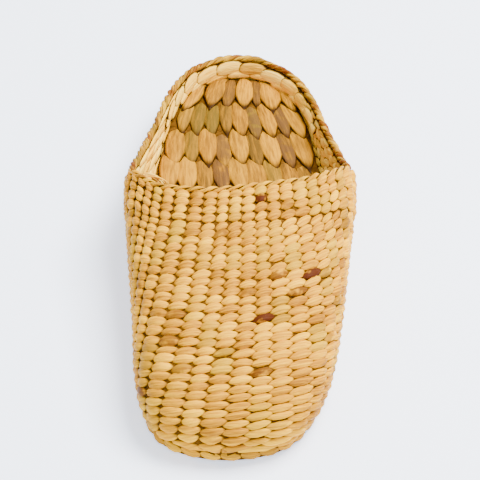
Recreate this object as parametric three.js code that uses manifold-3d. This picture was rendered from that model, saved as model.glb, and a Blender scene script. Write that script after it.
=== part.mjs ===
// A woven slipper for the left foot: a mule of twined plant stalk, open at the heel.
// Millimetres, +Z up. The toe points to -Y, the heel to +Y, the inner side of the foot is at -X.
// The vamp, side walls and heel wall are one hollow twined wall with its stitches raised.
// It stands on a woven outsole and closes around a leaf-twined insole.

import * as THREE from 'three';
import { mergeVertices } from 'three/addons/utils/BufferGeometryUtils.js';
import Module from 'manifold-3d';

const wasm = await Module();
wasm.setup();

// Driving sizes of the slipper
const LENGTH = 270;
const WIDTH = 105.5;
const INSTEP_HEIGHT = 56;
const HEEL_WALL_HEIGHT = 20;
const WALL = 3;
const CLEARANCE = 0.3;

// Sole sizes
const OUTSOLE_THICKNESS = 5.5;
const OUTSOLE_EDGE_STEP = 1;
const TOE_SPRING = 1.5;
const ARCH_LIFT = 1.5;
const INSOLE_THICKNESS = 7;

// Weave sizes
const ROW_PITCH = 4.7;
const WARP_PITCH = 7;
const STITCH_RISE = 1.3;
const LEAF_WIDTH = 8;
const LEAF_LENGTH = 20.7;
const LEAF_RISE = 1;

// Edge trims
const RIM_ROPE_RADIUS = 2.1;
const RIM_ROPE_LAY = 16;
const THROAT_ROPE_RADIUS = 1.5;
const THROAT_ROPE_LAY = 11;
const HEEL_BAND_START = 0.8;
const HEEL_BAND_FOOT = 4.5;
const HEEL_BAND_TOP = 1.2;
const HEEL_BAND_STITCH = 13;
const HEEL_BAND_RISE = 0.8;
// How far a two-strand rope's waist draws in, as a share of its radius
const ROPE_WAIST = 0.16;

// Rows behind the throat are this much wider than the rows over the vamp
const REAR_ROW_STRETCH = 1.5;
// Station at which the leaf columns of the insole are counted
const LEAF_COUNT_STATION = 0.45;

// Numbers of facets along each form
const ROOM_STATIONS = 28;
const OUTSOLE_STATIONS = 36;
const THROAT_CUT_STEPS = 24;
const COLLAR_CUT_STEPS = 26;
const ROPE_SEAT_STEPS = 60;
const BAND_SEAT_STEPS = 40;
const ROPE_SIDES = 8;
const GIRTH_STEPS = 60;
const LEVEL_STEPS = 200;
const CROWN_STEPS = 400;
// Steps in which the throat and collar edges are followed to their corner, as shares
const THROAT_SEARCH = 0.005;
const CORNER_SEARCH = 0.002;

// Levels of the room for the foot, on the last's scale from 0 at the sole edge to 2 at the crown
const ROOM_LEVELS = [0, 0.35, 0.7, 1, 1.15, 1.3, 1.45, 1.6, 1.75, 1.88, 2];

// Rounded edge of the outsole, top to bottom. out: share of OUTSOLE_EDGE_STEP that it stands
// out. drop: share of OUTSOLE_THICKNESS below the top.
const OUTSOLE_EDGE = [
  { out: 0.0, drop: 0.0 },
  { out: 0.7, drop: 0.18 },
  { out: 1.0, drop: 0.5 },
  { out: 0.7, drop: 0.82 },
  { out: 0.0, drop: 1.0 },
];

// Sections of the last, toe to heel. at: share of LENGTH from the toe.
// width: share of half WIDTH at the widest level. crown: share of INSTEP_HEIGHT.
// belly: height of the widest level as a share of INSTEP_HEIGHT.
// tuck: how much narrower the wall's foot is, as a share of the width.
// Behind the throat the crown only guides the side walls, because the collar cuts it away.
const SECTIONS = [
  { at: 0.000, width: 0.000, crown: 0.205, belly: 0.205, tuck: 0.04 },
  { at: 0.030, width: 0.520, crown: 0.490, belly: 0.250, tuck: 0.05 },
  { at: 0.080, width: 0.700, crown: 0.660, belly: 0.320, tuck: 0.06 },
  { at: 0.150, width: 0.800, crown: 0.765, belly: 0.370, tuck: 0.07 },
  { at: 0.250, width: 0.860, crown: 0.860, belly: 0.430, tuck: 0.09 },
  { at: 0.380, width: 0.930, crown: 0.960, belly: 0.510, tuck: 0.12 },
  { at: 0.540, width: 1.000, crown: 1.060, belly: 0.640, tuck: 0.17 },
  { at: 0.640, width: 0.935, crown: 1.100, belly: 0.600, tuck: 0.15 },
  { at: 0.750, width: 0.825, crown: 1.100, belly: 0.520, tuck: 0.11 },
  { at: 0.860, width: 0.705, crown: 1.050, belly: 0.450, tuck: 0.08 },
  { at: 0.930, width: 0.565, crown: 0.950, belly: 0.420, tuck: 0.07 },
  { at: 0.975, width: 0.355, crown: 0.750, belly: 0.400, tuck: 0.05 },
  { at: 1.000, width: 0.000, crown: 0.390, belly: 0.390, tuck: 0.04 },
];

// Top of the wall along the collar, throat corner to heel.
// rise: share of the drop from INSTEP_HEIGHT to HEEL_WALL_HEIGHT.
const COLLAR = [
  { at: 0.430, rise: 0.630 },
  { at: 0.510, rise: 0.620 },
  { at: 0.550, rise: 0.550 },
  { at: 0.590, rise: 0.420 },
  { at: 0.650, rise: 0.270 },
  { at: 0.720, rise: 0.155 },
  { at: 0.800, rise: 0.070 },
  { at: 0.890, rise: 0.020 },
  { at: 1.000, rise: 0.000 },
];

// The collar drops earlier on the inner side: this share of LENGTH for each half width across
const COLLAR_SKEW = 0.018;

// Throat edge seen from above. across: share of half WIDTH, inner side negative.
// back: how far the edge lies behind its foremost point, as a share of LENGTH.
const THROAT_FRONT = 0.430;
const THROAT = [
  { across: -1.05, back: 0.120 },
  { across: -0.96, back: 0.096 },
  { across: -0.86, back: 0.057 },
  { across: -0.64, back: 0.016 },
  { across: -0.28, back: 0.000 },
  { across: 0.00, back: 0.008 },
  { across: 0.32, back: 0.024 },
  { across: 0.55, back: 0.043 },
  { across: 0.78, back: 0.078 },
  { across: 1.00, back: 0.137 },
  { across: 1.05, back: 0.150 },
];

// Underside of the outsole. lift: share of TOE_SPRING; arch: share of ARCH_LIFT.
const UNDERSIDE = [
  { at: 0.00, lift: 1.00, arch: 0 },
  { at: 0.07, lift: 0.35, arch: 0 },
  { at: 0.14, lift: 0.00, arch: 0 },
  { at: 0.40, lift: 0.00, arch: 0 },
  { at: 0.55, lift: 0.00, arch: 1 },
  { at: 0.70, lift: 0.00, arch: 0 },
  { at: 1.00, lift: 0.00, arch: 0 },
];

// Shape of the sections
const SHOULDER_POWER = 2.5;
const END_TUCK = 0.016;
const TOE_SWING = 5.5;
const TOE_SWING_REACH = 0.28;

// Rows lean back from the crown to the sole edge, by this share of LENGTH
const ROW_LEAN = [
  { at: 0.00, lean: 0.000 },
  { at: 0.08, lean: 0.115 },
  { at: 0.25, lean: 0.145 },
  { at: 0.43, lean: 0.200 },
  { at: 0.60, lean: 0.170 },
  { at: 0.80, lean: 0.080 },
  { at: 1.00, lean: 0.000 },
];
const LEAN_POWER = 1.4;

// Turns a share of the length into an angle, so that round ends interpolate smoothly
function endAngle(at) {
  return Math.acos(1 - 2 * Math.min(1, Math.max(0, at)));
}

// Smooth interpolation of one column of a table, with slopes limited at turning points
function column(table, key, value, stretch = (x) => x) {
  const xs = table.map((row) => stretch(row[key]));
  const ys = table.map((row) => row[value]);
  const steps = ys.slice(1).map((y, i) => (y - ys[i]) / (xs[i + 1] - xs[i]));
  const slopes = ys.map((_, i) => {
    if (i === 0) return steps[0];
    if (i === ys.length - 1) return steps[i - 1];
    const before = steps[i - 1];
    const after = steps[i];
    return before * after <= 0 ? 0 : (2 * before * after) / (before + after);
  });
  return (at) => {
    const x = Math.min(xs[xs.length - 1], Math.max(xs[0], stretch(at)));
    let i = 0;
    while (i < xs.length - 2 && x > xs[i + 1]) i += 1;
    const span = xs[i + 1] - xs[i];
    const t = (x - xs[i]) / span;
    const bend = t * t * (3 - 2 * t);
    return ys[i] * (1 - bend) + ys[i + 1] * bend
      + span * t * (1 - t) * ((1 - t) * slopes[i] - t * slopes[i + 1]);
  };
}

const widthShare = column(SECTIONS, 'at', 'width', endAngle);
const crownShare = column(SECTIONS, 'at', 'crown', endAngle);
const bellyShare = column(SECTIONS, 'at', 'belly', endAngle);
const tuckShare = column(SECTIONS, 'at', 'tuck', endAngle);
const collarShare = column(COLLAR, 'at', 'rise');
const throatBack = column(THROAT, 'across', 'back');
const undersideLift = column(UNDERSIDE, 'at', 'lift');
const undersideArch = column(UNDERSIDE, 'at', 'arch');
const rowLean = column(ROW_LEAN, 'at', 'lean');

function undersideHeight(at) {
  return TOE_SPRING * undersideLift(at) + ARCH_LIFT * undersideArch(at);
}

function outsoleTop(at) {
  return undersideHeight(at) + OUTSOLE_THICKNESS;
}

function wallFoot(at) {
  return outsoleTop(at) + CLEARANCE;
}

// Height of the wall's top edge; across is the place over the width, from -1 to 1
function collarHeight(at, across = 0) {
  return HEEL_WALL_HEIGHT + (INSTEP_HEIGHT - HEEL_WALL_HEIGHT) * collarShare(at - COLLAR_SKEW * across);
}

function toeSwing(at) {
  const near = Math.max(0, 1 - at / TOE_SWING_REACH);
  return -TOE_SWING * near * near;
}

// Half width of the last at its widest level and at its foot, drawn in by inset
function halfWidth(at, inset) {
  return widthShare(at) * (WIDTH / 2 - inset);
}

function footHalfWidth(at, inset) {
  return halfWidth(at, inset) * (1 - tuckShare(at));
}

// Point of the last's surface. up runs from 0 at the sole edge through 1 at the widest level
// to 2 at the crown; side is -1 or 1; inset draws the surface in.
function lastPoint(at, up, side, inset = 0) {
  const foot = wallFoot(at);
  const belly = INSTEP_HEIGHT * bellyShare(at);
  const wide = halfWidth(at, inset);
  const narrow = footHalfWidth(at, inset);
  const lower = Math.min(1, up) * Math.PI / 2;
  const upper = Math.max(0, up - 1) * Math.PI / 2;
  const run = LENGTH - 2 * inset;
  let x = narrow + (wide - narrow) * Math.sin(lower);
  let z = foot + (belly - foot) * (1 - Math.cos(lower));
  if (up > 1) {
    x = wide * Math.pow(Math.max(0, Math.cos(upper)), 2 / SHOULDER_POWER);
    z = belly + Math.max(0, INSTEP_HEIGHT * crownShare(at) - inset - belly)
      * Math.pow(Math.sin(upper), 2 / SHOULDER_POWER);
  }
  const y = (at - 0.5) * run * (1 - END_TUCK * (1 - Math.sin(lower)));
  return new THREE.Vector3(side * x + toeSwing(at), y, z);
}

// Levels of the column lines from sole edge to crown, equally spaced round the throat section
const COLUMNS_PER_SIDE = Math.round(halfGirth(THROAT_FRONT) / WARP_PITCH);
const COLUMN_LEVELS = equalLevels(THROAT_FRONT, COLUMNS_PER_SIDE);

function halfGirth(at) {
  let girth = 0;
  for (let i = 0; i < GIRTH_STEPS; i += 1) {
    girth += lastPoint(at, 2 * i / GIRTH_STEPS, 1).distanceTo(lastPoint(at, 2 * (i + 1) / GIRTH_STEPS, 1));
  }
  return girth;
}

function equalLevels(at, count) {
  const fine = LEVEL_STEPS;
  const lengths = [0];
  for (let i = 1; i <= fine; i += 1) {
    const step = lastPoint(at, 2 * i / fine, 1).distanceTo(lastPoint(at, 2 * (i - 1) / fine, 1));
    lengths.push(lengths[i - 1] + step);
  }
  const levels = [];
  let i = 0;
  for (let k = 0; k <= count; k += 1) {
    while (i < fine && lengths[i] < lengths[fine] * k / count - 1e-9) i += 1;
    levels.push(2 * i / fine);
  }
  return levels;
}

// Joins points and triangles into one closed mesh with shared corners
function closedGeometry(points, triangles) {
  const loose = new THREE.BufferGeometry();
  loose.setAttribute('position', new THREE.Float32BufferAttribute(points.flatMap((p) => [p.x, p.y, p.z]), 3));
  loose.setIndex(triangles.flat());
  const merged = mergeVertices(loose, 1e-4);
  const index = merged.getIndex().array;
  const kept = [];
  for (let i = 0; i < index.length; i += 3) {
    const [a, b, c] = [index[i], index[i + 1], index[i + 2]];
    if (a !== b && b !== c && c !== a) kept.push(a, b, c);
  }
  merged.setIndex(kept);
  return merged;
}

function toManifold(geometry) {
  const bare = new THREE.BufferGeometry();
  bare.setAttribute('position', geometry.getAttribute('position'));
  bare.setIndex(geometry.getIndex());
  const merged = mergeVertices(bare, 1e-4);
  return new wasm.Manifold(new wasm.Mesh({
    numProp: 3,
    vertProperties: new Float32Array(merged.getAttribute('position').array),
    triVerts: new Uint32Array(merged.getIndex().array),
  }));
}

function fromManifold(solid) {
  const mesh = solid.getMesh();
  const geometry = new THREE.BufferGeometry();
  geometry.setAttribute('position', new THREE.Float32BufferAttribute(mesh.vertProperties, 3));
  geometry.setIndex(Array.from(mesh.triVerts));
  return geometry;
}

// Closed skin over rings of equal length; each ring runs left foot, crown, right foot.
// raise gives the height of a small pyramid on each cell of the woven part.
function skinOverRings(rings, raise = () => 0) {
  const points = rings.flat();
  const width = rings[0].length;
  const triangles = [];
  for (let i = 0; i < rings.length - 1; i += 1) {
    for (let j = 0; j < width; j += 1) {
      const next = (j + 1) % width;
      const a = i * width + j;
      const b = i * width + next;
      const c = (i + 1) * width + next;
      const d = (i + 1) * width + j;
      const height = next === 0 ? 0 : raise(i, j);
      if (height === 0) {
        triangles.push([a, b, c], [a, c, d]);
      } else {
        const centre = points[a].clone().add(points[b]).add(points[c]).add(points[d]).divideScalar(4);
        const across = points[c].clone().sub(points[a]);
        const along = points[d].clone().sub(points[b]);
        const room = Math.min(points[a].distanceTo(points[b]), points[a].distanceTo(points[d]));
        centre.addScaledVector(across.cross(along).normalize(), Math.min(height, room / 3));
        const top = points.push(centre) - 1;
        triangles.push([a, b, top], [b, c, top], [c, d, top], [d, a, top]);
      }
    }
  }
  return closedGeometry(points, triangles);
}

// Stations from toe to heel, closer together at the round ends
function roundStations(count) {
  return Array.from({ length: count + 1 }, (_, i) => (1 - Math.cos(Math.PI * i / count)) / 2);
}

// Centre line of the vamp rows: equal steps over the crown from the toe to the throat
function rowStations() {
  const fine = CROWN_STEPS;
  const track = [0];
  const crown = (i) => lastPoint(THROAT_FRONT * i / fine, 2, 1);
  for (let i = 1; i <= fine; i += 1) track.push(track[i - 1] + crown(i).distanceTo(crown(i - 1)));
  const rows = Math.round(track[fine] / ROW_PITCH);
  const stations = [];
  let i = 0;
  for (let k = 0; k <= rows; k += 1) {
    while (i < fine && track[i] < track[fine] * k / rows - 1e-9) i += 1;
    stations.push(THROAT_FRONT * i / fine);
  }
  return stations;
}

// The woven skin: rows lean back down the sides, and go on behind the throat to the heel
function wovenBody() {
  const vampRows = rowStations();
  const rearCount = Math.round((1 - THROAT_FRONT) * LENGTH / (REAR_ROW_STRETCH * ROW_PITCH));
  const rearRows = Array.from({ length: rearCount }, (_, i) => {
    const along = (i + 1) / rearCount;
    return THROAT_FRONT + (1 - THROAT_FRONT) * Math.sin(along * Math.PI / 2);
  });
  const rows = [...vampRows, ...rearRows];
  const levels = COLUMN_LEVELS;
  const lines = [...levels.map((up) => [up, -1]), ...levels.slice(0, -1).reverse().map((up) => [up, 1])];
  const rings = rows.map((row) => lines.map(([up, side]) => {
    const share = Math.pow(1 - levels.indexOf(up) / (levels.length - 1), LEAN_POWER);
    return lastPoint(Math.min(1, row + rowLean(row) * share), up, side);
  }));
  const lastWoven = rows.length - 2;
  return skinOverRings(rings, (i, j) => (i > 0 && i < lastWoven && j < lines.length - 1 ? STITCH_RISE : 0));
}

// Room for the foot: the last drawn in by the wall, running out below
function footRoom() {
  const below = -OUTSOLE_THICKNESS;
  const rings = roundStations(ROOM_STATIONS).map((at) => {
    const side = (sign) => ROOM_LEVELS.map((up) => lastPoint(at, up, sign, WALL));
    const foot = (sign) => lastPoint(at, 0, sign, WALL).setZ(below);
    return [foot(-1), ...side(-1), ...side(1).reverse().slice(1), foot(1)];
  });
  return skinOverRings(rings);
}

// Cutter for the collar: behind the throat seen from above, and above the wall's top edge
function collarCutter() {
  const past = WIDTH;
  const high = 2 * INSTEP_HEIGHT;
  const inner = THROAT[0].across;
  const outer = THROAT[THROAT.length - 1].across;
  const plan = new THREE.Shape();
  for (let i = 0; i <= THROAT_CUT_STEPS; i += 1) {
    const across = inner + (outer - inner) * i / THROAT_CUT_STEPS;
    const x = across * WIDTH / 2;
    const y = (THROAT_FRONT + throatBack(across) - 0.5) * LENGTH;
    if (i === 0) plan.moveTo(x, y);
    else plan.lineTo(x, y);
  }
  plan.lineTo(past, LENGTH * (THROAT_FRONT + throatBack(outer) - 0.5));
  plan.lineTo(past, LENGTH);
  plan.lineTo(-past, LENGTH);
  plan.lineTo(-past, LENGTH * (THROAT_FRONT + throatBack(inner) - 0.5));
  plan.closePath();
  const behind = new THREE.ExtrudeGeometry(plan, { depth: high, bevelEnabled: false });

  const side = new THREE.Shape();
  side.moveTo(-LENGTH / 2, high);
  side.lineTo(-LENGTH / 2, collarHeight(0));
  for (let i = 1; i <= COLLAR_CUT_STEPS; i += 1) {
    const at = COLLAR[0].at + (1 - COLLAR[0].at) * i / COLLAR_CUT_STEPS;
    side.lineTo((at - 0.5) * LENGTH, collarHeight(at));
  }
  side.lineTo(LENGTH, collarHeight(1));
  side.lineTo(LENGTH, high);
  side.closePath();
  const above = new THREE.ExtrudeGeometry(side, { depth: 2 * past, bevelEnabled: false });
  above.rotateX(Math.PI / 2);
  above.rotateZ(Math.PI / 2);
  above.translate(-past, 0, 0);
  const skew = COLLAR_SKEW * LENGTH / (WIDTH / 2);
  above.applyMatrix4(new THREE.Matrix4().set(1, 0, 0, 0, skew, 1, 0, 0, 0, 0, 1, 0, 0, 0, 0, 1));
  return toManifold(behind).intersect(toManifold(above));
}

function upperGeometry() {
  const body = toManifold(wovenBody());
  return fromManifold(body.subtract(toManifold(footRoom())).subtract(collarCutter()));
}

// Outsole: a mat of twined rows with a rounded edge and flat spots under heel and forefoot
function outsoleGeometry() {
  const rings = roundStations(OUTSOLE_STATIONS).map((at) => {
    const rim = (side) => OUTSOLE_EDGE.map(({ out, drop }) => {
      const base = lastPoint(at, 0, side);
      const grow = 1 + OUTSOLE_EDGE_STEP * out / (WIDTH / 2);
      const z = undersideHeight(at) + OUTSOLE_THICKNESS * (1 - drop);
      return new THREE.Vector3(base.x * grow, base.y * (1 + OUTSOLE_EDGE_STEP * out / (LENGTH / 2)), z);
    });
    return [...rim(-1).reverse(), ...rim(1)];
  });
  return skinOverRings(rings);
}

// Insole: leaf-shaped stitches in columns along the foot
function insoleGeometry() {
  const rows = Math.round(LENGTH / LEAF_LENGTH);
  const stations = roundStations(2 * rows);
  const halfColumns = Math.round(footHalfWidth(LEAF_COUNT_STATION, WALL) / LEAF_WIDTH);
  const seat = WALL + 2 * CLEARANCE;
  const rings = stations.map((at) => {
    const bottom = outsoleTop(at) + CLEARANCE;
    const top = bottom + INSOLE_THICKNESS - LEAF_RISE;
    const edge = lastPoint(at, 0, 1, seat).x - toeSwing(at);
    const y = lastPoint(at, 0, 1, seat).y;
    const across = Array.from({ length: 2 * halfColumns + 1 }, (_, i) => (i / halfColumns - 1) * edge);
    return [
      new THREE.Vector3(toeSwing(at) - edge, y, bottom),
      ...across.map((x) => new THREE.Vector3(toeSwing(at) + x, y, top)),
      new THREE.Vector3(toeSwing(at) + edge, y, bottom),
    ];
  });
  const lastLeaf = stations.length - 3;
  return skinOverRings(rings, (i, j) => {
    return i > 0 && i <= lastLeaf && j > 0 && j <= 2 * halfColumns ? LEAF_RISE : 0;
  });
}

// Level on the last whose height is z, on the wall at this station
function levelAtHeight(at, z) {
  let low = 0;
  let high = 2;
  for (let i = 0; i < 40; i += 1) {
    const middle = (low + high) / 2;
    if (lastPoint(at, middle, 1).z < z) low = middle;
    else high = middle;
  }
  return (low + high) / 2;
}

// Middle of the wall's top edge on one side, at a station behind the throat corner
function collarPoint(at, side) {
  const z = collarHeight(at, side * widthShare(at));
  return lastPoint(at, levelAtHeight(at, z), side, WALL / 2).setZ(z);
}

// Middle of the throat edge at a share of the half width
function throatPoint(across) {
  const at = THROAT_FRONT + throatBack(across);
  const x = across * WIDTH / 2;
  let low = 1;
  let high = 2;
  for (let i = 0; i < 40; i += 1) {
    const middle = (low + high) / 2;
    if (lastPoint(at, middle, 1, WALL / 2).x > Math.abs(x)) low = middle;
    else high = middle;
  }
  const point = lastPoint(at, (low + high) / 2, 1, WALL / 2);
  return new THREE.Vector3(x, point.y, point.z);
}

// Points at equal steps along a path of points
function evenPath(points, step) {
  const track = [0];
  for (let i = 1; i < points.length; i += 1) {
    track.push(track[i - 1] + points[i].distanceTo(points[i - 1]));
  }
  const length = track[track.length - 1];
  const count = Math.max(2, Math.round(length / step));
  let i = 1;
  return Array.from({ length: count + 1 }, (_, k) => {
    const goal = length * k / count;
    while (i < points.length - 1 && track[i] < goal) i += 1;
    return points[i - 1].clone().lerp(points[i], (goal - track[i - 1]) / (track[i] - track[i - 1]));
  });
}

// Direction of a path at each of its points
function directions(path) {
  return path.map((_, i) => {
    const before = path[Math.max(0, i - 1)];
    const after = path[Math.min(path.length - 1, i + 1)];
    return after.clone().sub(before).normalize();
  });
}

// Rings with their middles added before the first and after the last, so that the ends close
function withEnds(rings) {
  const middles = [rings[0], rings[rings.length - 1]].map((ring) => {
    const sum = new THREE.Vector3();
    ring.forEach((p) => sum.add(p));
    return ring.map(() => sum.clone().divideScalar(ring.length));
  });
  return [middles[0], ...rings, middles[1]];
}

// Two-strand twisted rope laid along a seat: its middle stands off the seat towards away, with
// twice the clearance, because the edge under the rope curves between the seat's points
function ropeGeometry(seat, radius, lay, away) {
  const path = evenPath(seat, lay / 4);
  const along = directions(path);
  const step = path[0].distanceTo(path[1]);
  const rings = path.map((point, i) => {
    const normal = away.clone().addScaledVector(along[i], -away.dot(along[i])).normalize();
    const across = normal.clone().cross(along[i]).normalize();
    const middle = point.clone().addScaledVector(normal, radius + 2 * CLEARANCE);
    const turn = 2 * Math.PI * i * step / lay;
    return Array.from({ length: ROPE_SIDES }, (_, k) => {
      const angle = -2 * Math.PI * k / ROPE_SIDES;
      const lobe = radius * (1 - ROPE_WAIST + ROPE_WAIST * Math.cos(2 * (angle - turn)));
      return middle.clone()
        .addScaledVector(normal, lobe * Math.cos(angle))
        .addScaledVector(across, lobe * Math.sin(angle));
    });
  });
  return skinOverRings(withEnds(rings));
}

// Share of the half width, on one side, where the throat edge comes down onto the collar
function throatReach(side) {
  const room = 2 * THROAT_ROPE_RADIUS + CLEARANCE;
  let across = 0.5;
  while (across < 1) {
    const point = throatPoint(side * across);
    const at = THROAT_FRONT + throatBack(side * across);
    if (point.z < collarHeight(at, side * across) + room) break;
    across += THROAT_SEARCH;
  }
  return across;
}

function throatRopeGeometry() {
  const inner = -throatReach(-1);
  const outer = throatReach(1);
  const seat = Array.from({ length: ROPE_SEAT_STEPS + 1 }, (_, i) => {
    return throatPoint(inner + (outer - inner) * i / ROPE_SEAT_STEPS);
  });
  return ropeGeometry(seat, THROAT_ROPE_RADIUS, THROAT_ROPE_LAY, new THREE.Vector3(0, 1, 0));
}

// Station on one side where the throat cut leaves the outside of the wall
function cornerStation(side) {
  let at = THROAT_FRONT;
  while (at < 1) {
    const z = collarHeight(at, side * widthShare(at));
    const x = lastPoint(at, levelAtHeight(at, z), 1).x;
    if (at > THROAT_FRONT + throatBack(side * x / (WIDTH / 2))) break;
    at += CORNER_SEARCH;
  }
  return at;
}

// Rim rope: from one throat corner round the heel to the other, on the wall's top edge
function rimRopeGeometry() {
  const walk = (side) => {
    const start = cornerStation(side) + RIM_ROPE_RADIUS / LENGTH;
    return Array.from({ length: ROPE_SEAT_STEPS + 1 }, (_, i) => {
      return collarPoint(start + (1 - start) * Math.sin(i / ROPE_SEAT_STEPS * Math.PI / 2), side);
    });
  };
  const seat = [...walk(-1), ...walk(1).reverse().slice(1)];
  return ropeGeometry(seat, RIM_ROPE_RADIUS, RIM_ROPE_LAY, new THREE.Vector3(0, 0, 1));
}

// Heel band: broad pale strands laid inside the heel wall, between insole and rim rope.
// Each ring is a wedge: outer foot, outer top, inner top, inner foot.
function heelBandGeometry() {
  const gap = WALL + 2 * CLEARANCE;
  const high = HEEL_WALL_HEIGHT - CLEARANCE;
  const walk = (side) => Array.from({ length: BAND_SEAT_STEPS + 1 }, (_, i) => {
    const at = HEEL_BAND_START + (1 - HEEL_BAND_START) * Math.sin(i / BAND_SEAT_STEPS * Math.PI / 2);
    return lastPoint(at, levelAtHeight(at, high), side, gap);
  });
  const seat = [...walk(-1), ...walk(1).reverse().slice(1)];
  const path = evenPath(seat, HEEL_BAND_STITCH);
  const along = directions(path);
  const wedges = path.map((point, i) => {
    const at = Math.min(1, Math.max(0, point.y / (LENGTH - 2 * gap) + 0.5));
    const side = Math.sign(point.x) || 1;
    const low = outsoleTop(at) + INSOLE_THICKNESS + 2 * CLEARANCE;
    const inward = new THREE.Vector3(along[i].y, -along[i].x, 0).normalize();
    const outerTop = point.clone().setZ(high);
    const outerFoot = lastPoint(at, levelAtHeight(at, low), side, gap).setZ(low);
    return [
      outerFoot,
      outerTop,
      outerTop.clone().addScaledVector(inward, HEEL_BAND_TOP),
      outerFoot.clone().addScaledVector(inward, HEEL_BAND_FOOT),
    ];
  });
  const rings = withEnds(wedges);
  return skinOverRings(rings, (i, j) => (j === 2 && i > 0 && i < rings.length - 2 ? HEEL_BAND_RISE : 0));
}

const group = new THREE.Group();

function addPiece(name, geometry, colour, roughness) {
  const material = new THREE.MeshStandardMaterial({ color: colour, roughness, metalness: 0 });
  const mesh = new THREE.Mesh(geometry, material);
  mesh.name = name;
  group.add(mesh);
}

addPiece('outsole', outsoleGeometry(), 0xc99a5b, 0.8);
addPiece('insole', insoleGeometry(), 0xb98a4e, 0.65);
addPiece('upper', upperGeometry(), 0xe2b871, 0.6);
addPiece('throat_braid', throatRopeGeometry(), 0xd8a860, 0.65);
addPiece('rim_braid', rimRopeGeometry(), 0xcfa468, 0.65);
addPiece('heel_band', heelBandGeometry(), 0xe6cf9b, 0.6);

export default group;
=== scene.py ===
"""Looks of a woven slipper for the left foot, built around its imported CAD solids.
Metres, +Z up. The toe points to -Y, the heel to +Y, the inner side of the foot is at -X.
"""

import math

import bpy
import numpy as np
from mathutils import Matrix, Vector


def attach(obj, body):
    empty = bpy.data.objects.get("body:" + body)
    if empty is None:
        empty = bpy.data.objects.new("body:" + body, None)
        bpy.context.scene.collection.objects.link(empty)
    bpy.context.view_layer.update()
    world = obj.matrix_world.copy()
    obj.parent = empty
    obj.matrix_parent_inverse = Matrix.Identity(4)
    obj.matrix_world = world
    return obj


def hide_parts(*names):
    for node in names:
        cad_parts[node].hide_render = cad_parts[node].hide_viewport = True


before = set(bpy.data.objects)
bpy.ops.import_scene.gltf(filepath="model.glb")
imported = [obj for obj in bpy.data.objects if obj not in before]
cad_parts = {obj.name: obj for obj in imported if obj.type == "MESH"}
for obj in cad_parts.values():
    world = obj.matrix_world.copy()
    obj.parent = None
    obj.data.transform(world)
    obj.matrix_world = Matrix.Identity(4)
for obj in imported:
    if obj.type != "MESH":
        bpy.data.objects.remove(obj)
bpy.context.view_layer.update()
bpy.ops.object.select_all(action="DESELECT")


# Sole mat
# The outsole is a thick mat of twined plant stalk with an edge row twined round its rim.
# Its rows run across the foot, and the walls are woven on from the edge row.

LENGTH = 0.270
WIDTH = 0.1055
INSTEP_HEIGHT = 0.056
OUTSOLE_THICKNESS = 0.0055
TOE_SPRING = 0.0015
ARCH_LIFT = 0.0015
WALL = 0.003
CLEARANCE = 0.0003
SHOULDER_POWER = 2.5
END_TUCK = 0.016
TOE_SWING = 0.0055
TOE_SWING_REACH = 0.28

# Sections of the last, as shares of LENGTH, half WIDTH and INSTEP_HEIGHT
SECTIONS = [
    {"at": 0.000, "width": 0.000, "crown": 0.205, "belly": 0.205, "tuck": 0.04},
    {"at": 0.030, "width": 0.520, "crown": 0.490, "belly": 0.250, "tuck": 0.05},
    {"at": 0.080, "width": 0.700, "crown": 0.660, "belly": 0.320, "tuck": 0.06},
    {"at": 0.150, "width": 0.800, "crown": 0.765, "belly": 0.370, "tuck": 0.07},
    {"at": 0.250, "width": 0.860, "crown": 0.860, "belly": 0.430, "tuck": 0.09},
    {"at": 0.380, "width": 0.930, "crown": 0.960, "belly": 0.510, "tuck": 0.12},
    {"at": 0.540, "width": 1.000, "crown": 1.060, "belly": 0.640, "tuck": 0.17},
    {"at": 0.640, "width": 0.935, "crown": 1.100, "belly": 0.600, "tuck": 0.15},
    {"at": 0.750, "width": 0.825, "crown": 1.100, "belly": 0.520, "tuck": 0.11},
    {"at": 0.860, "width": 0.705, "crown": 1.050, "belly": 0.450, "tuck": 0.08},
    {"at": 0.930, "width": 0.565, "crown": 0.950, "belly": 0.420, "tuck": 0.07},
    {"at": 0.975, "width": 0.355, "crown": 0.750, "belly": 0.400, "tuck": 0.05},
    {"at": 1.000, "width": 0.000, "crown": 0.390, "belly": 0.390, "tuck": 0.04},
]
UNDERSIDE = [
    {"at": 0.00, "lift": 1.00, "arch": 0},
    {"at": 0.07, "lift": 0.35, "arch": 0},
    {"at": 0.14, "lift": 0.00, "arch": 0},
    {"at": 0.40, "lift": 0.00, "arch": 0},
    {"at": 0.55, "lift": 0.00, "arch": 1},
    {"at": 0.70, "lift": 0.00, "arch": 0},
    {"at": 1.00, "lift": 0.00, "arch": 0},
]


def end_angle(at):
    """Turns a share of the length into an angle, so that round ends interpolate smoothly."""
    return np.arccos(1 - 2 * np.clip(at, 0, 1))


def column(table, key, value, stretch=lambda x: x):
    """Smooth reading of one column of a table, with slopes limited at turning points."""
    xs = np.array([float(stretch(row[key])) for row in table])
    ys = np.array([float(row[value]) for row in table])
    steps = np.diff(ys) / np.diff(xs)
    slopes = np.concatenate([steps[:1], steps])
    for i in range(1, len(ys) - 1):
        before, after = steps[i - 1], steps[i]
        slopes[i] = 0 if before * after <= 0 else 2 * before * after / (before + after)

    def read(at):
        x = np.clip(stretch(np.asarray(at, float)), xs[0], xs[-1])
        i = np.clip(np.searchsorted(xs, x, side="right") - 1, 0, len(xs) - 2)
        span = xs[i + 1] - xs[i]
        t = (x - xs[i]) / span
        bend = t * t * (3 - 2 * t)
        pull = span * t * (1 - t) * ((1 - t) * slopes[i] - t * slopes[i + 1])
        return ys[i] * (1 - bend) + ys[i + 1] * bend + pull

    return read


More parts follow.
